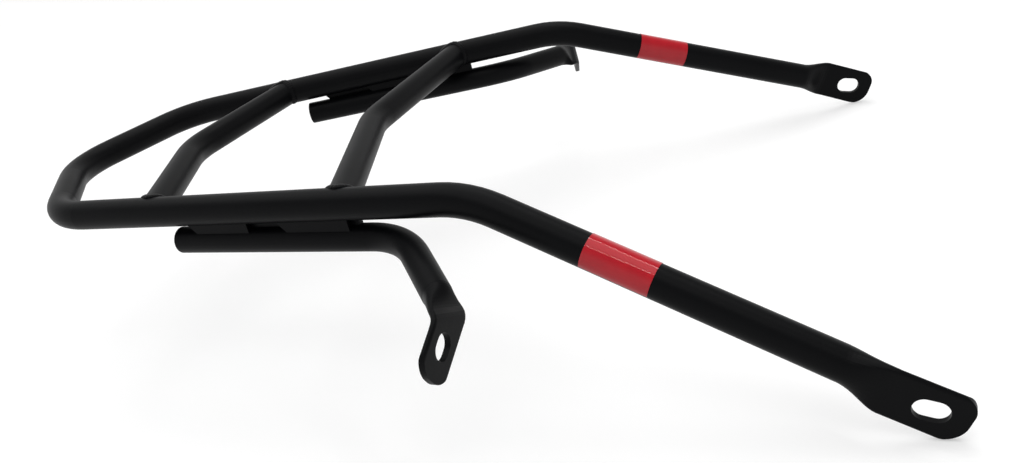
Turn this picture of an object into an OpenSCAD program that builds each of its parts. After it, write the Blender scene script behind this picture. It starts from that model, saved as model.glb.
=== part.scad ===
// Motorcycle luggage rack: one bent hoop tube with slotted flattened arm ends,
// two pointed crossbars, and two stays carried under the side rails.
// +X is forward, +Y the left side, +Z up. Z = 0 is the plane the luggage rests on,
// and X = 0 is midway between the front bends and the rear corners.

/* [Tubes] */
// Outer diameter of the hoop tube and the crossbars
tube_d = 16; // [14:0.5:19]
// Outer diameter of the stays
stay_d = 14; // [12:0.5:16]
// Wall of every tube
tube_wall = 1.5; // [1.2:0.1:2]

/* [Platform] */
// Length of the side rails, from the front bends to the rear corners
deck_len = 255; // [230:1:300]
// Spacing of the side rails at the front bends, centre to centre
deck_front_w = 252; // [220:1:290]
// Spacing of the side rails at the rear corners, centre to centre
deck_rear_w = 155; // [140:1:190]
// How far the rear point stands behind the rear corners
rear_point = 40; // [30:1:55]
// Centre-line radius of the front bends
front_bend_r = 66; // [45:1:85]
// Centre-line radius of the rear corners
rear_corner_r = 40; // [30:1:55]
// Centre-line radius of the rear point
rear_point_r = 48; // [30:1:55]

/* [Crossbars] */
// Front crossbar ends, distance behind the front bends
front_bar_back = 67.5; // [50:0.5:90]
// Rear crossbar ends, distance behind the front bends
rear_bar_back = 184.5; // [150:0.5:200]
// How far the middle of the front crossbar stands behind its ends
front_bar_point = 22; // [12:1:30]
// How far the middle of the rear crossbar stands behind its ends
rear_bar_point = 25; // [12:0.5:30]
// Centre-line radius of the crossbars' middle bend
bar_bend_r = 50; // [30:1:80]
// Gap between a crossbar's coped end and the rail, closed by the weld
cope_gap = 0.1; // [0.05:0.05:0.3]

/* [Arms] */
// Length of the round part of an arm, from the front bend's corner
arm_len = 172; // [140:1:200]
// Angle by which the arms spread outwards
arm_splay = 16.4; // [12:0.2:22]
// Angle by which the arms drop
arm_drop = 24.7; // [15:0.1:35]
// Length over which an arm's end is pressed flat
arm_flare = 19; // [14:1:28]
// Length of the flat tab past the flare
arm_tab_len = 32.2; // [30:0.1:40]
// Width of the flat tab
arm_tab_w = 23; // [20:0.5:28]
// How far the middle of the tab's wall stands outside the tube's centre line
arm_tab_shift = 4.8; // [0:0.1:6]
// Outward angle of the tab, closer to straight ahead than the arm
arm_tab_splay = 9.5; // [6:0.5:12]
// Angle by which the tab drops
arm_tab_drop = 27; // [20:0.5:35]
// Corner radius at the top of the tab's tip
arm_tip_top_r = 7; // [3:0.5:9]
// Corner radius at the bottom of the tab's tip
arm_tip_low_r = 11; // [8:0.5:12]

/* [Stays] */
// Height of the clear gap between a side rail and the rear end of the stay under it
stay_gap = 2.5; // [1.5:0.1:4]
// Angle by which a stay falls away from its rail towards the front
stay_fall = 0.6; // [0:0.1:1.2]
// How far a stay lies inside its rail's centre line
stay_inset = 1.2; // [0:0.1:2]
// Rear end of a stay, distance behind the front bends
stay_back = 173; // [140:1:178]
// Corner of the stay's bend, distance behind the front bends
stay_bend_back = 38.5; // [30:0.5:45]
// Centre-line radius of the stay's bend
stay_bend_r = 40; // [35:1:55]
// Outward angle of the stay past its bend, from straight ahead
stay_out = 59; // [50:1:64]
// Angle by which the stay drops past its bend
stay_drop = 9; // [4:0.5:14]
// Length from the bend's corner to the fold at the stay's end
stay_len = 70; // [66:1:78]
// Length over which the stay's end is pressed flat before the fold
stay_press = 18; // [14:1:22]
// Length of the round of the fold, to each side
stay_fold = 4; // [3:0.5:6]
// Length of the flat tab past the fold
stay_tab_len = 25.5; // [24:0.5:32]
// Width of the flat tab
stay_tab_w = 21; // [19:0.5:24]
// Corner radius of the tab's tip
stay_tip_r = 9.5; // [5:0.5:9.5]
// Outward angle of the tab, from straight ahead
stay_tab_out = 104; // [98:1:110]
// Angle by which the tab drops
stay_tab_drop = 29; // [20:1:38]

/* [Slots] */
// Width of the bolt slots
slot_w = 10; // [8.5:0.5:11]
// Length of the slots in the arm tabs
arm_slot_len = 14.5; // [12:0.5:17]
// Arm slot's centre, distance from the tab's tip
arm_slot_back = 15; // [13:0.5:18]
// Angle of the arm slot, up from the tab's own line
arm_slot_tilt = 12; // [0:1:15]
// Length of the slots in the stay tabs
stay_slot_len = 12.5; // [11:0.5:16]
// Stay slot's centre, distance from the tab's tip
stay_slot_back = 15.5; // [13:0.5:18]

/* [Filler bars] */
// Thickness of the filler bars between rail and stay
filler_t = 2.8; // [2:0.1:3]
// Outer face of a filler bar, distance from the rail's centre plane
filler_face = 3.2; // [3.1:0.1:4]
// Length of the rear outer filler bar
outer_rear_len = 44; // [30:1:50]
// Rear end of the rear outer filler bar, distance behind the front bends
outer_rear_back = 168; // [150:1:172]
// Length of the front outer filler bar
outer_front_len = 48; // [30:1:50]
// Rear end of the front outer filler bar, distance behind the front bends
outer_front_back = 112; // [100:1:115]
// Length of the inner filler bar
inner_len = 79; // [60:1:82]
// Rear end of the inner filler bar, distance behind the front bends
inner_back = 138; // [125:1:145]
// Angle by which a filler bar's rear end leans back
filler_rake = 40; // [0:5:50]

/* [Welds] */
// Width of a weld bead on each of the two tubes it joins
bead_leg = 2.8; // [1.5:0.1:3.5]
// Height of a weld bead above the seam
bead_h = 1.7; // [1.2:0.1:2.4]
// Angle below the crossbar's middle where its bead stops, on each side
bead_low = 45; // [30:5:50]

/* [Film bands] */
// Length of the red film bands along the arms
film_len = 32; // [20:1:45]
// Thickness of the film
film_t = 0.2; // [0.1:0.05:0.4]
// Thickness of the glue under the film
film_seat = 0.05; // [0.03:0.01:0.1]
// Angle that the film wraps round the tube, open underneath
film_wrap = 270; // [180:5:330]
// Angle of the film's outer edge below straight outwards
film_low = 30; // [0:5:60]
// Right band's start, distance from the front bend's corner
film_start_right = 59; // [40:1:100]
// Left band's start, distance from the front bend's corner
film_start_left = 55; // [40:1:100]

/* [Hidden] */

tube_sides = 64;
// Straights run this far into the bends, whose rods are a hair thinner, so that the
// two always join as one solid
lap = 0.3;
lap_step = 0.01;
// The skin of a pressed end starts this far inside the tube and ends this far outside the tab
press_step = 0.06;
tube_r = tube_d / 2;
stay_r = stay_d / 2;
flat_t = 2 * tube_wall;
axis_z = -tube_r;
front_x = deck_len / 2;
stay_z = axis_z - tube_r - stay_gap - stay_r;
taper = (deck_front_w - deck_rear_w) / 2 / deck_len;

black = [0.10, 0.10, 0.11];
weld_black = [0.15, 0.15, 0.16];
film_red = [0.75, 0.10, 0.14];

// Half spacing of the rails at a distance behind the front bends
function rail_y(back) = deck_front_w / 2 - taper * back;
// Point on the right rail's centre line
function rail_point(back) = [front_x - back, -rail_y(back), axis_z];
// Point on the right stay's centre line
function stay_point(back) = [front_x - back, stay_inset - rail_y(back),
                             stay_z - (stay_back - back) * tan(stay_fall)];
// Direction that points ahead, turned outwards to the right, then down
function heading(out, drop) = [cos(drop) * cos(out), -cos(drop) * sin(out), -sin(drop)];
function mirrored(p) = [p.x, -p.y, p.z];
function unit(v) = v / norm(v);

rail_dir = unit(rail_point(0) - rail_point(deck_len));
arm_dir = heading(arm_splay, arm_drop);
arm_end = rail_point(0) + arm_len * arm_dir;

// Centre line of the hoop, from the right arm round the back to the left arm
rear_tip = [-front_x - rear_point, 0, axis_z];
hoop_route = [arm_end, rail_point(0), rail_point(deck_len), rear_tip,
              mirrored(rail_point(deck_len)), mirrored(rail_point(0)), mirrored(arm_end)];
hoop_bends = [front_bend_r, rear_corner_r, rear_point_r, rear_corner_r, front_bend_r];

// Centre line of a stay up to where it is pressed flat
stay_corner = stay_point(stay_bend_back);
stay_dir = heading(stay_out, stay_drop);
stay_kink = stay_corner + stay_len * stay_dir;
stay_round_end = stay_kink - stay_press * stay_dir;
stay_route = [stay_point(stay_back), stay_corner, stay_round_end];

// Matrix that puts local X, Y and Z on three directions, and the origin on a point
function frame_at(x, y, z, o) =
    [[x.x, y.x, z.x, o.x], [x.y, y.y, z.y, o.y], [x.z, y.z, z.z, o.z], [0, 0, 0, 1]];

// Direction of a route's stretch, and the length that a bend takes from it
function stretch(p, i) = unit(p[i + 1] - p[i]);
function turn(p, i) = acos(stretch(p, i - 1) * stretch(p, i));
function run_in(p, b, i) = i == 0 || i == len(p) - 1 ? 0 : b[i - 1] * tan(turn(p, i) / 2) - lap;

module straight(a, b, r) {
    d = unit(b - a);
    side = unit(cross(d, [0, 0, 1]));
    multmatrix(frame_at(side, cross(d, side), d, a))
        cylinder(h = norm(b - a), r = r, $fn = tube_sides);
}

module elbow(corner, d_in, d_out, bend_r, r) {
    angle = acos(d_in * d_out);
    inward = unit(d_out - d_in * (d_in * d_out));
    centre = corner - d_in * bend_r * tan(angle / 2) + inward * bend_r;
    multmatrix(frame_at(-inward, d_in, cross(-inward, d_in), centre))
        rotate_extrude(angle = angle, $fn = 2 * tube_sides)
            translate([bend_r, 0])
                circle(r = r - lap_step, $fn = tube_sides);
}

// Solid rod of radius r along a route of points p, with bend radii b
module bent_rod(p, b, r) {
    for (i = [0 : len(p) - 2])
        straight(p[i] + run_in(p, b, i) * stretch(p, i),
                 p[i + 1] - run_in(p, b, i + 1) * stretch(p, i), r);
    for (i = [1 : len(p) - 2])
        elbow(p[i], stretch(p, i - 1), stretch(p, i), b[i - 1], r);
}

// Skin over rings of points, each ring with the same count, closed at both ends
module lofted(rings) {
    n = len(rings[0]);
    m = len(rings);
    sides = [for (j = [0 : m - 2], i = [0 : n - 1])
        each let (a = j * n + i, b = j * n + (i + 1) % n)
            [[a, b, a + n], [b, b + n, a + n]]];
    first = [for (i = [n - 1 : -1 : 0]) i];
    last = [for (i = [0 : n - 1]) (m - 1) * n + i];
    polyhedron(points = [for (r = rings) each r], faces = concat(sides, [first], [last]));
}

// Ring of points that runs from a circle of radius r (s = 0) to a flat section with
// round edges, w wide and t thick (s = 1); across and out are its two directions
ring_sides = 48;
round_half = acos(0.8);
function edge_point(a, w, t) = [(w - t) / 2 + t / 2 * cos(a), t / 2 * sin(a)];
function flat_point(a, w, t) =
    abs(cos(a)) < 0.8 ? [(w - t) / 2 * cos(a) / 0.8, sign(sin(a)) * t / 2]
    : cos(a) > 0 ? edge_point((a > 180 ? a - 360 : a) * 90 / round_half, w, t)
    : -edge_point((a - 180) * 90 / round_half, w, t);
function press_ring(centre, across, out, r, w, t, s) =
    [for (i = [0 : ring_sides - 1])
        let (a = 360 * i / ring_sides, f = flat_point(a, w, t))
            centre + across * ((1 - s) * r * cos(a) + s * f[0])
                   + out * ((1 - s) * r * sin(a) + s * f[1])];
press_steps = 10;
press_list = [for (j = [0 : press_steps]) j / press_steps];
function ease(t) = t * t * (3 - 2 * t);

// Flat tab along +X, face normal to Y, with its long edges round and its tip cut to
// two corner radii; local +Z is its upper edge, and its root leans by slant
module tab(length, w, top_r, low_r, slant) {
    lean = w / 2 * slant;
    intersection() {
        translate([-lean, 0, 0])
            rotate([90, 0, 90])
            linear_extrude(length + lean) {
                square([flat_t, w - flat_t], center = true);
                for (s = [-1, 1])
                    translate([0, s * (w - flat_t) / 2])
                        circle(d = flat_t, $fn = 32);
            }
        translate([0, flat_t, 0])
            rotate([90, 0, 0])
                linear_extrude(2 * flat_t) {
                    polygon([[-lean, -w / 2], [length - low_r, -w / 2], [length, low_r - w / 2],
                             [length, w / 2 - top_r], [length - top_r, w / 2], [lean, w / 2]]);
                    translate([length - low_r, low_r - w / 2])
                        circle(r = low_r, $fn = 96);
                    translate([length - top_r, w / 2 - top_r])
                        circle(r = top_r, $fn = 64);
                }
    }
}

// Slot cutter along Y, long way along X
module slot(length) {
    for (s = [-1, 1])
        translate([s * (length - slot_w) / 2, 0, 0])
            rotate([90, 0, 0])
                cylinder(h = 4 * flat_t, d = slot_w, center = true, $fn = 64);
    cube([length - slot_w, 4 * flat_t, slot_w], center = true);
}

// Frame of the right arm's tab: X to its tip, Y through it, Z up across it
arm_tab_x = heading(arm_tab_splay, arm_tab_drop);
arm_tab_y = unit(cross([0, 0, 1], arm_tab_x));
arm_tab_z = cross(arm_tab_x, arm_tab_y);
arm_out = unit(cross(arm_dir, [0, 0, 1]));
arm_up = cross(arm_out, arm_dir);
arm_tab_start = arm_end + arm_dir * arm_flare + arm_out * arm_tab_shift;

function arm_ring(t) =
    let (s = ease(t))
        press_ring(arm_end + arm_dir * (arm_flare * t - lap * (1 - t)) + arm_out * arm_tab_shift * s,
                   unit(arm_up * (1 - s) + arm_tab_z * s),
                   unit(-arm_out * (1 - s) + arm_tab_y * s),
                   tube_r - press_step, arm_tab_w + 2 * press_step, flat_t + 2 * press_step, s);

module arm_tip() {
    lofted([for (t = press_list) arm_ring(t)]);
    multmatrix(frame_at(arm_tab_x, arm_tab_y, arm_tab_z, arm_tab_start - lap * arm_tab_x))
        difference() {
            tab(arm_tab_len, arm_tab_w, arm_tip_top_r, arm_tip_low_r, 0);
            translate([arm_tab_len - arm_slot_back, 0, 0])
                rotate([0, -arm_slot_tilt, 0])
                    slot(arm_slot_len);
        }
}

module hoop_tube() color(black) {
    difference() {
        bent_rod(hoop_route, hoop_bends, tube_r);
        bent_rod(hoop_route, hoop_bends, tube_r - tube_wall);
    }
    arm_tip();
    mirror([0, 1, 0])
        arm_tip();
}

// Crossbar whose ends lie on the rails at a distance behind the front bends
function bar_route(back, point) =
    [rail_point(back), [front_x - back - point, 0, axis_z], mirrored(rail_point(back))];

module crossbar(back, point) color(black)
    difference() {
        bent_rod(bar_route(back, point), [bar_bend_r], tube_r);
        bent_rod(bar_route(back, point), [bar_bend_r], tube_r - tube_wall);
        for (side = [0, 1])
            mirror([0, side, 0])
                straight(rail_point(back - 2 * tube_d), rail_point(back + 2 * tube_d), tube_r + cope_gap);
    }

module rear_crossbar() crossbar(rear_bar_back, rear_bar_point);
module front_crossbar() crossbar(front_bar_back, front_bar_point);

// Frame of the right stay's tab: X to its tip, Y through it, Z across it
stay_tab_x = heading(stay_tab_out, stay_tab_drop);
stay_tab_y = unit(cross([0, 0, 1], stay_tab_x));
stay_tab_z = cross(stay_tab_x, stay_tab_y);
// The fold line makes one angle with the stay and with its tab
stay_slant = (stay_tab_z * stay_dir) / (1 - stay_tab_x * stay_dir);
stay_crease = stay_tab_z + stay_slant * stay_tab_x;
stay_across = unit(stay_crease - stay_dir * (stay_crease * stay_dir));
stay_through = cross(stay_across, stay_dir);
stay_tab_start = stay_kink + stay_fold * stay_tab_x;

function stay_press_ring(t) =
    let (s = ease(t))
        press_ring(stay_kink - stay_dir * (stay_fold * t + (stay_press + lap) * (1 - t)),
                   stay_across * (1 - s) + stay_crease * s, stay_through,
                   stay_r - press_step, stay_tab_w + 2 * press_step, flat_t + 2 * press_step, s);
function stay_fold_ring(t) =
    press_ring(stay_kink - (1 - t) * (1 - t) * stay_fold * stay_dir + t * t * stay_fold * stay_tab_x,
               stay_crease, unit(stay_through * (1 - t) + stay_tab_y * t),
               stay_r, stay_tab_w + 2 * press_step, flat_t + 2 * press_step, 1);
fold_list = [0.25, 0.5, 0.75, 1];

module stay_tip() {
    lofted(concat([for (t = press_list) stay_press_ring(t)], [for (t = fold_list) stay_fold_ring(t)]));
    multmatrix(frame_at(stay_tab_x, stay_tab_y, stay_tab_z, stay_tab_start - lap * stay_tab_x))
        difference() {
            tab(stay_tab_len, stay_tab_w, stay_tip_r, stay_tip_r, stay_slant);
            translate([stay_tab_len - stay_slot_back, 0, 0])
                slot(stay_slot_len);
        }
}

module stay_right() color(black) {
    difference() {
        bent_rod(stay_route, [stay_bend_r], stay_r);
        bent_rod(stay_route, [stay_bend_r], stay_r - tube_wall);
    }
    stay_tip();
}
module stay_left() mirror([0, 1, 0]) stay_right();

// Bar that fills the valley between rail and stay, between two distances inside the
// rail's centre plane, from a distance behind the front bends and forwards
rail_in = unit(cross([0, 0, 1], rail_dir));
module filler(back, length, y_low) color(black)
    difference() {
        multmatrix(frame_at(rail_dir, rail_in, [0, 0, 1], rail_point(back)))
            translate([0, y_low + filler_t, 0])
                rotate([90, 0, 0])
                    linear_extrude(filler_t)
                        polygon([[0, 0], [filler_drop * tan(filler_rake), -filler_drop],
                                 [length, -filler_drop], [length, 0]]);
        straight(rail_point(deck_len), rail_point(0), tube_r);
        straight(stay_point(deck_len), stay_point(0), stay_r);
    }
filler_drop = tube_r + stay_gap + stay_r;

module filler_outer_rear_right() filler(outer_rear_back, outer_rear_len, -filler_face);
module filler_outer_front_right() filler(outer_front_back, outer_front_len, -filler_face);
module filler_inner_right() filler(inner_back, inner_len, filler_face - filler_t);
module filler_outer_rear_left() mirror([0, 1, 0]) filler_outer_rear_right();
module filler_outer_front_left() mirror([0, 1, 0]) filler_outer_front_right();
module filler_inner_left() mirror([0, 1, 0]) filler_inner_right();

// Weld bead along the saddle seam where a crossbar, leaving along d, meets the right rail.
// The seam is rounded off at the rail's crest, where tubes of one size meet in a point
bead_steps = 30;
bead_gap = 0.06;
crest_round = 0.25;
arc_list = [0.2, 0.4, 0.6, 0.8];
function seam(o, d, a) =
    let (side = cross(d, [0, 0, 1]),
         reach = tube_r * sqrt(cos(a) * cos(a) + crest_round * crest_round),
         along = (reach - tube_r * cos(a) * (side * rail_in)) / (d * rail_in))
        o + along * d + tube_r * (side * cos(a) + [0, 0, sin(a)]);
// Direction from the line through o along d, square to it, to a point p
function off_line(p, o, d) = unit(p - o - d * ((p - o) * d));
// Point p brought to the bead's seat on the tube through o along d
function seated(p, o, d) = o + d * ((p - o) * d) + (tube_r + bead_gap) * off_line(p, o, d);
function bead_ring(o, d, a) =
    let (p = seam(o, d, a),
         run = unit(seam(o, d, a + 1) - seam(o, d, a - 1)),
         rail_up = off_line(p, o, rail_dir),
         bar_up = off_line(p, o, d),
         up = unit(rail_up + bar_up),
         on_rail = bead_leg * unit(cross(rail_up, run)),
         on_bar = bead_leg * unit(cross(run, bar_up)),
         rail_toe = seated(p + on_rail, o, rail_dir),
         bar_toe = seated(p + on_bar, o, d),
         crown = 2 * (p + bead_h * up) - (rail_toe + bar_toe) / 2)
        concat([p + 2 * bead_gap * up, seated(p + on_rail / 2, o, rail_dir), rail_toe],
               [for (t = arc_list) (1 - t) * (1 - t) * rail_toe + 2 * t * (1 - t) * crown + t * t * bar_toe],
               [bar_toe, seated(p + on_bar / 2, o, d)]);

module weld_bar_right(back, point) color(weld_black)
    let (o = rail_point(back), d = unit([front_x - back - point, 0, axis_z] - o))
        lofted([for (i = [0 : bead_steps])
            bead_ring(o, d, -bead_low + (180 + 2 * bead_low) * i / bead_steps)]);
module weld_rear_bar_right() weld_bar_right(rear_bar_back, rear_bar_point);
module weld_rear_bar_left() mirror([0, 1, 0]) weld_rear_bar_right();
module weld_front_bar_right() weld_bar_right(front_bar_back, front_bar_point);
module weld_front_bar_left() mirror([0, 1, 0]) weld_front_bar_right();

// Red film wrapped round the right arm from a distance past the front bend's corner
module film(start) color(film_red)
    multmatrix(frame_at(film_x, film_y, -arm_dir, rail_point(0) + (start + film_len) * arm_dir))
        rotate_extrude(angle = film_wrap, $fn = 96)
            translate([tube_r + film_seat, 0])
                square([film_t, film_len]);
film_x = arm_out * cos(film_low) - arm_up * sin(film_low);
film_y = arm_out * sin(film_low) + arm_up * cos(film_low);
module film_band_right() film(film_start_right);
module film_band_left() mirror([0, 1, 0]) film(film_start_left);

hoop_tube();
rear_crossbar();
front_crossbar();
stay_right();
stay_left();
filler_outer_rear_right();
filler_outer_rear_left();
filler_outer_front_right();
filler_outer_front_left();
filler_inner_right();
filler_inner_left();
weld_rear_bar_right();
weld_rear_bar_left();
weld_front_bar_right();
weld_front_bar_left();
film_band_right();
film_band_left();
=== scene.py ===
import math

import bpy
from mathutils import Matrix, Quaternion, Vector


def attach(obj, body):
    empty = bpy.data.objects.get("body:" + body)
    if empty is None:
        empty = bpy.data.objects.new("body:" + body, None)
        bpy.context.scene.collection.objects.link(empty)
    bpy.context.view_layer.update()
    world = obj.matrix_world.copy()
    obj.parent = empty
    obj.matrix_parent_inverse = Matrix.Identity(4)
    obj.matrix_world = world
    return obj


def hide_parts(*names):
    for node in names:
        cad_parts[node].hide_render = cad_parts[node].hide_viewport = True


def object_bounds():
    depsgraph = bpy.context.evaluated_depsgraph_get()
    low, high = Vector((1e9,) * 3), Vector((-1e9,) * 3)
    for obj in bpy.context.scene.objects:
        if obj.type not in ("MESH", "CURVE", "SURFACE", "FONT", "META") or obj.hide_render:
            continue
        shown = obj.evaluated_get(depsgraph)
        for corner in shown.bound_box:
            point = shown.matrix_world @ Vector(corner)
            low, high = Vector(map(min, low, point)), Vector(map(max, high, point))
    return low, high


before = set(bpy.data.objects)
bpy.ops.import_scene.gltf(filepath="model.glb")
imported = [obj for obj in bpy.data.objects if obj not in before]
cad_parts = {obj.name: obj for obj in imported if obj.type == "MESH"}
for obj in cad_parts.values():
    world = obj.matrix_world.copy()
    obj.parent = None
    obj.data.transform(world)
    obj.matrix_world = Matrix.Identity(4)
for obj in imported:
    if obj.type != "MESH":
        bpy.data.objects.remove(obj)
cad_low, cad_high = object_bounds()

# Sizes of the rack that the looks follow, in metres
MM = 0.001
TUBE_R = 8 * MM
DECK_LEN = 255 * MM
DECK_FRONT_W = 252 * MM
DECK_REAR_W = 155 * MM
# Each crossbar's distance behind the front bends, and how far its middle stands behind its ends
BARS = {"front": (67.5 * MM, 22 * MM), "rear": (184.5 * MM, 25 * MM)}

scene = bpy.context.scene
scene.view_settings.view_transform = "Standard"


# Shader graphs

class Value:
    """A number's socket: an expression on it adds its Math nodes"""

    def __init__(self, graph, socket):
        self.graph = graph
        self.socket = socket

    def math(self, operation, first, second):
        node = self.graph.node("ShaderNodeMath", {"operation": operation}, {0: first, 1: second})
        return Value(self.graph, node.outputs[0])

    def __add__(self, other):
        return self.math("ADD", self, other)

    def __radd__(self, other):
        return self.math("ADD", other, self)

    def __sub__(self, other):
        return self.math("SUBTRACT", self, other)

    def __rsub__(self, other):
        return self.math("SUBTRACT", other, self)

    def __mul__(self, other):
        return self.math("MULTIPLY", self, other)

    def __rmul__(self, other):
        return self.math("MULTIPLY", other, self)


class Graph:
    """The node tree of a material, a world or a piece"""

    def __init__(self, tree):
        self.tree = tree
        tree.nodes.clear()

    def node(self, kind, settings, inputs):
        node = self.tree.nodes.new(kind)
        for name, setting in settings.items():
            setattr(node, name, setting)
        for name, given in inputs.items():
            if isinstance(given, Value):
                self.tree.links.new(given.socket, node.inputs[name])
            elif isinstance(given, bpy.types.NodeSocket):
                self.tree.links.new(given, node.inputs[name])
            else:
                node.inputs[name].default_value = given
        return node

    def place(self):
        return self.node("ShaderNodeTexCoord", {}, {}).outputs["Object"]

    def noise(self, scale, detail, at):
        made = self.node("ShaderNodeTexNoise", {}, {"Vector": at, "Scale": scale, "Detail": detail})
        return Value(self, made.outputs["Fac"])

    def blend(self, factor, low, high):
        made = self.node("ShaderNodeMix", {"data_type": "RGBA"}, {0: factor, 6: low, 7: high})
        return made.outputs[2]

    def stretched(self, at, scale):
        return self.node("ShaderNodeMapping", {}, {"Vector": at, "Scale": scale}).outputs[0]

    def bump(self, height, strength, distance):
        given = {"Height": height, "Strength": strength, "Distance": distance}
        return self.node("ShaderNodeBump", {}, given).outputs[0]

    def ramp(self, value, low, high, at_low, at_high):
        made = self.node("ShaderNodeMapRange", {}, {0: value, 1: low, 2: high, 3: at_low, 4: at_high})
        return Value(self, made.outputs[0])

    def seen(self):
        """1 for rays from the camera, reflections and glass, 0 for light on the object"""
        path = self.node("ShaderNodeLightPath", {}, {})
        return (Value(self, path.outputs["Is Camera Ray"]) + Value(self, path.outputs["Is Glossy Ray"])
                + Value(self, path.outputs["Is Transmission Ray"]))


def material(name):
    made = bpy.data.materials.new(name)
    made.use_nodes = True
    return made, Graph(made.node_tree)


def finished(graph, shader):
    graph.node("ShaderNodeOutputMaterial", {}, {"Surface": shader.outputs[0]})


# Satin black powder coat: a fine orange peel, with slow changes of sheen
COAT_DARK = (0.0018, 0.0019, 0.0023, 1)
COAT_LIGHT = (0.0032, 0.0034, 0.0041, 1)
PEEL_SCALE = 700.0
PEEL_DEPTH = 0.10 * MM
SHEEN_SCALE = 28.0


def powder_coat(name, peel):
    made, g = material(name)
    at = g.place()
    peel_height = g.noise(PEEL_SCALE, 2.0, at)
    slow = g.noise(SHEEN_SCALE, 3.0, at)
    shader = g.node("ShaderNodeBsdfPrincipled", {}, {
        "Base Color": g.blend(slow, COAT_DARK, COAT_LIGHT),
        "Roughness": 0.36 + 0.10 * slow,
        "Specular IOR Level": 0.07,
        "Normal": g.bump(peel_height, peel, PEEL_DEPTH),
    })
    finished(g, shader)
    return made


# Gloss red film, stretched by hand, so that its surface waves a little along the arm
RED_DARK = (0.44, 0.008, 0.018, 1)
RED_LIGHT = (0.56, 0.012, 0.022, 1)
MOTTLE_SCALE = 160.0
WAVE_SCALE = (150.0, 60.0, 60.0)
WAVE_DEPTH = 0.6 * MM


def gloss_film(name):
    made, g = material(name)
    at = g.place()
    mottle = g.noise(MOTTLE_SCALE, 2.0, at)
    waves = g.noise(1.0, 1.0, g.stretched(at, WAVE_SCALE))
    shader = g.node("ShaderNodeBsdfPrincipled", {}, {
        "Base Color": g.blend(mottle, RED_DARK, RED_LIGHT),
        "Roughness": 0.30,
        "Specular IOR Level": 0.05,
        "Coat Weight": 0.8,
        "Coat IOR": 1.40,
        "Coat Roughness": 0.015,
        "Normal": g.bump(waves, 0.06, WAVE_DEPTH),
    })
    finished(g, shader)
    return made


coat = powder_coat("powder_coat", 0.35)
weld_coat = powder_coat("powder_coat_on_welds", 0.6)
film = gloss_film("red_film")

for node_name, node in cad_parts.items():
    finish = film if node_name.startswith("film") else coat
    for slot in node.material_slots:
        slot.material = finish


# Weld beads: a row of overlapping flattened drops along each saddle seam

DROP_SEGMENTS = 20
DROP_RINGS = 12


def seam_tree():
    tree = bpy.data.node_groups.new("weld_bead", "GeometryNodeTree")
    tree.interface.new_socket("Seam", in_out="INPUT", socket_type="NodeSocketGeometry")
    for name in ("Spacing", "Half Length", "Half Width", "Height"):
        tree.interface.new_socket(name, in_out="INPUT", socket_type="NodeSocketFloat")
    tree.interface.new_socket("Finish", in_out="INPUT", socket_type="NodeSocketMaterial")
    tree.interface.new_socket("Bead", in_out="OUTPUT", socket_type="NodeSocketGeometry")
    g = Graph(tree)
    given = g.node("NodeGroupInput", {}, {}).outputs
    curve = g.node("GeometryNodeMeshToCurve", {}, {"Mesh": given["Seam"]}).outputs["Curve"]
    spaced = g.node("GeometryNodeResampleCurve", {"mode": "LENGTH"},
                    {"Curve": curve, "Length": given["Spacing"]}).outputs["Curve"]
    tangent = g.node("GeometryNodeInputTangent", {}, {}).outputs[0]
    along = g.node("FunctionNodeAlignRotationToVector", {"axis": "X"}, {"Vector": tangent}).outputs[0]
    upright = g.node("GeometryNodeInputNamedAttribute", {"data_type": "FLOAT_VECTOR"},
                     {"Name": "bead_up"}).outputs[0]
    turned = g.node("FunctionNodeAlignRotationToVector", {"axis": "Z", "pivot_axis": "X"},
                    {"Rotation": along, "Vector": upright}).outputs[0]
    drop = g.node("GeometryNodeMeshUVSphere", {},
                  {"Segments": DROP_SEGMENTS, "Rings": DROP_RINGS, "Radius": 1.0}).outputs["Mesh"]
    size = g.node("ShaderNodeCombineXYZ", {},
                  {0: given["Half Length"], 1: given["Half Width"], 2: given["Height"]}).outputs[0]
    placed = g.node("GeometryNodeInstanceOnPoints", {},
                    {"Points": spaced, "Instance": drop, "Rotation": turned, "Scale": size}).outputs[0]
    real = g.node("GeometryNodeRealizeInstances", {}, {0: placed}).outputs[0]
    smooth = g.node("GeometryNodeSetShadeSmooth", {}, {"Geometry": real}).outputs[0]
    painted = g.node("GeometryNodeSetMaterial", {},
                     {"Geometry": smooth, "Material": given["Finish"]}).outputs[0]
    g.node("NodeGroupOutput", {}, {"Bead": painted})
    return tree


def grown(piece, tree, settings):
    """The piece's tree with these settings, as a plain mesh object of the same name"""
    modifier = piece.modifiers.new("grow", "NODES")
    modifier.node_group = tree
    for item in tree.interface.items_tree:
        if item.item_type == "SOCKET" and item.in_out == "INPUT" and item.name in settings:
            modifier[item.identifier] = settings[item.name]
    ready = piece.evaluated_get(bpy.context.evaluated_depsgraph_get())
    mesh = bpy.data.meshes.new_from_object(ready)
    name = piece.name
    bpy.data.objects.remove(piece)
    made = bpy.data.objects.new(name, mesh)
    scene.collection.objects.link(made)
    return made


# Angle between a side rail and the rack's centre line
RAIL_TURN = math.atan((DECK_FRONT_W - DECK_REAR_W) / 2 / DECK_LEN)
# A bead stops this far below the crossbar's middle, and its seam is rounded off at the crest
BEAD_LOW = math.radians(45)
CREST_ROUND = 0.25
SEAM_STEPS = 64
UP = Vector((0, 0, 1))
BEAD = {"Spacing": 1.5 * MM, "Half Length": 1.9 * MM, "Half Width": 2.3 * MM, "Height": 1.25 * MM,
        "Finish": weld_coat}
bead_tree = seam_tree()


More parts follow.
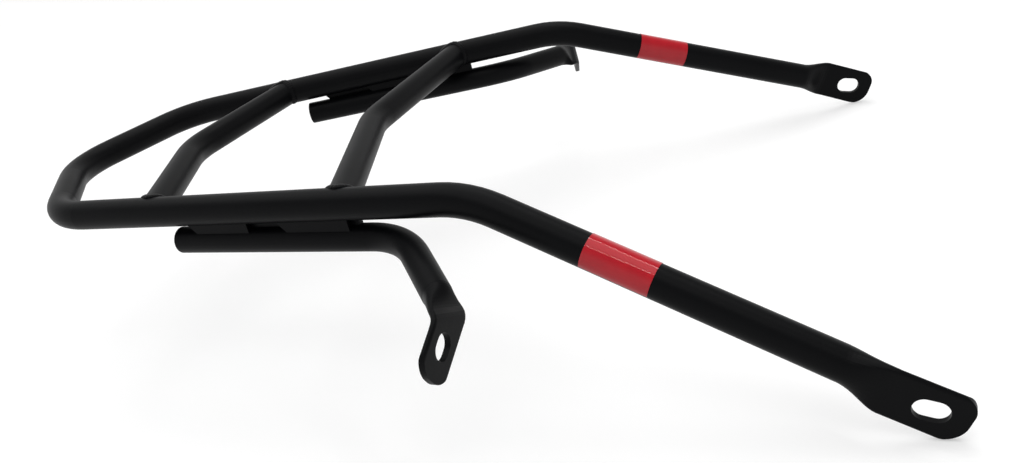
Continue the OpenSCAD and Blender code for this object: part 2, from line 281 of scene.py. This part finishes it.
def seam_points(back, point, side):
    """Points of the seam where a crossbar meets a rail, each with the bead's upward direction"""
    rail = Vector((math.cos(RAIL_TURN), side * math.sin(RAIL_TURN), 0))
    inward = Vector((math.sin(RAIL_TURN), -side * math.cos(RAIL_TURN), 0))
    rail_y = side * (DECK_FRONT_W / 2 - back * math.tan(RAIL_TURN))
    start = Vector((DECK_LEN / 2 - back, rail_y, -TUBE_R))
    middle = Vector((DECK_LEN / 2 - back - point, 0, -TUBE_R))
    bar = (middle - start).normalized()
    across = bar.cross(UP)
    points = []
    for i in range(SEAM_STEPS + 1):
        a = -BEAD_LOW + (math.pi + 2 * BEAD_LOW) * i / SEAM_STEPS
        reach = TUBE_R * math.hypot(math.cos(a), CREST_ROUND)
        along = (reach - TUBE_R * math.cos(a) * across.dot(inward)) / bar.dot(inward)
        off = TUBE_R * (across * math.cos(a) + UP * math.sin(a))
        p = bar * along + off
        from_rail = p - rail * rail.dot(p)
        points.append((start + p, (from_rail.normalized() + off.normalized()).normalized()))
    return points


def weld_bead(name, back, point, side):
    route = seam_points(back, point, side)
    mesh = bpy.data.meshes.new(name)
    mesh.from_pydata([p for p, _ in route], [(i, i + 1) for i in range(len(route) - 1)], [])
    ups = mesh.attributes.new("bead_up", "FLOAT_VECTOR", "POINT")
    for i, (_, up) in enumerate(route):
        ups.data[i].vector = up
    piece = bpy.data.objects.new(name + "_bead", mesh)
    scene.collection.objects.link(piece)
    made = grown(piece, bead_tree, BEAD)
    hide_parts(name)
    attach(made, "root")


for bar_name, (bar_back, bar_point) in BARS.items():
    for side_name, side in (("right", -1), ("left", 1)):
        weld_bead("weld_" + bar_name + "_bar_" + side_name, bar_back, bar_point, side)


# Studio: a white floor and a white horizon, dimmer overhead

def staged(name, corners, faces, finish):
    mesh = bpy.data.meshes.new(name)
    mesh.from_pydata(corners, [], faces)
    mesh.materials.append(finish)
    made = bpy.data.objects.new(name, mesh)
    scene.collection.objects.link(made)
    return made


def square(half, z):
    return [(-half, -half, z), (half, -half, z), (half, half, z), (-half, half, z)]


FLOOR_HALF = 12.0
# The floor's paint, and the glow that brings it to white for the camera and reflections
FLOOR_PALE = 0.60
FLOOR_LIFT = 0.45
# The sky's strength for light on the rack, and overhead for the camera and reflections
AMBIENT = 0.40
OVERHEAD = 0.25
# Sines of the elevations between which the white horizon fades to the dimmer part overhead
HORIZON_END = 0.25
OVERHEAD_START = 0.75
floor_z = cad_low.z - 1 * MM
floor_white, g = material("floor_white")
floor_paint = g.node("ShaderNodeBsdfDiffuse", {}, {"Color": (FLOOR_PALE, FLOOR_PALE, FLOOR_PALE, 1)})
floor_glow = g.node("ShaderNodeEmission", {}, {"Strength": FLOOR_LIFT * g.seen()})
finished(g, g.node("ShaderNodeAddShader", {}, {0: floor_paint.outputs[0], 1: floor_glow.outputs[0]}))
staged("floor", square(FLOOR_HALF, floor_z), [(0, 1, 2, 3)], floor_white)

world = bpy.data.worlds.new("studio")
scene.world = world
world.use_nodes = True
g = Graph(world.node_tree)
way = g.node("ShaderNodeTexCoord", {}, {}).outputs["Generated"]
upward = Value(g, g.node("ShaderNodeSeparateXYZ", {}, {0: way}).outputs[2])
surroundings = g.ramp(upward, HORIZON_END, OVERHEAD_START, 1.0, OVERHEAD)
sky = g.node("ShaderNodeBackground", {}, {
    "Color": (1, 1, 1, 1),
    "Strength": AMBIENT + (surroundings - AMBIENT) * g.seen(),
})
g.node("ShaderNodeOutputWorld", {}, {"Surface": sky.outputs[0]})


# Lamps: a wide soft one overhead, and two thin strips that draw the lines on the film

def aimed(made, at):
    made.rotation_mode = "QUATERNION"
    made.rotation_quaternion = (at - made.location).to_track_quat("-Z", "X")


SOFT_STRENGTH = 1.6
SOFT_SPREAD = math.radians(70)
SOFT_AT = (-0.4, 0.3, 2.0)
soft = bpy.data.lights.new("soft_overhead", "SUN")
soft.energy = SOFT_STRENGTH
soft.angle = SOFT_SPREAD
soft_lamp = bpy.data.objects.new("soft_overhead", soft)
soft_lamp.location = SOFT_AT
aimed(soft_lamp, Vector((0, 0, 0)))
scene.collection.objects.link(soft_lamp)


STRIP_LEN = 1.6
STRIP_W = 0.02
STRIP_WATTS = 3.2
STRIP_AIM = (0.05, 0, -0.02)
Z_AXIS = (0, 0, 1)


def strip_lamp(name, at):
    data = bpy.data.lights.new(name, "AREA")
    data.shape = "RECTANGLE"
    data.size = STRIP_LEN
    data.size_y = STRIP_W
    data.energy = STRIP_WATTS
    made = bpy.data.objects.new(name, data)
    made.location = at
    aimed(made, Vector(STRIP_AIM))
    made.rotation_quaternion = made.rotation_quaternion @ Quaternion(Z_AXIS, math.pi / 2)
    scene.collection.objects.link(made)


strip_lamp("far_strip", (0.55, 0.60, 1.30))
strip_lamp("near_strip", (0.28, -0.85, 1.35))


# Camera: the photograph's place, aim and roll

PHOTO_W = 1024
FOCAL_PX = 1005.74
SENSOR_W = 36
CAMERA_AT = (0.270569, -0.514127, 0.163477)
CAMERA_AIM = (-0.28162, 0.86159, -0.42232)
CAMERA_ROLL = math.radians(-14.61)
camera_data = bpy.data.cameras.new("camera")
camera_data.sensor_width = SENSOR_W
camera_data.lens = SENSOR_W * FOCAL_PX / PHOTO_W
camera_data.clip_start = 10 * MM
camera = bpy.data.objects.new("camera", camera_data)
camera.location = CAMERA_AT
camera.rotation_mode = "QUATERNION"
level = Vector(CAMERA_AIM).to_track_quat("-Z", "Y")
camera.rotation_quaternion = level @ Quaternion(Z_AXIS, CAMERA_ROLL)
scene.collection.objects.link(camera)
scene.camera = camera
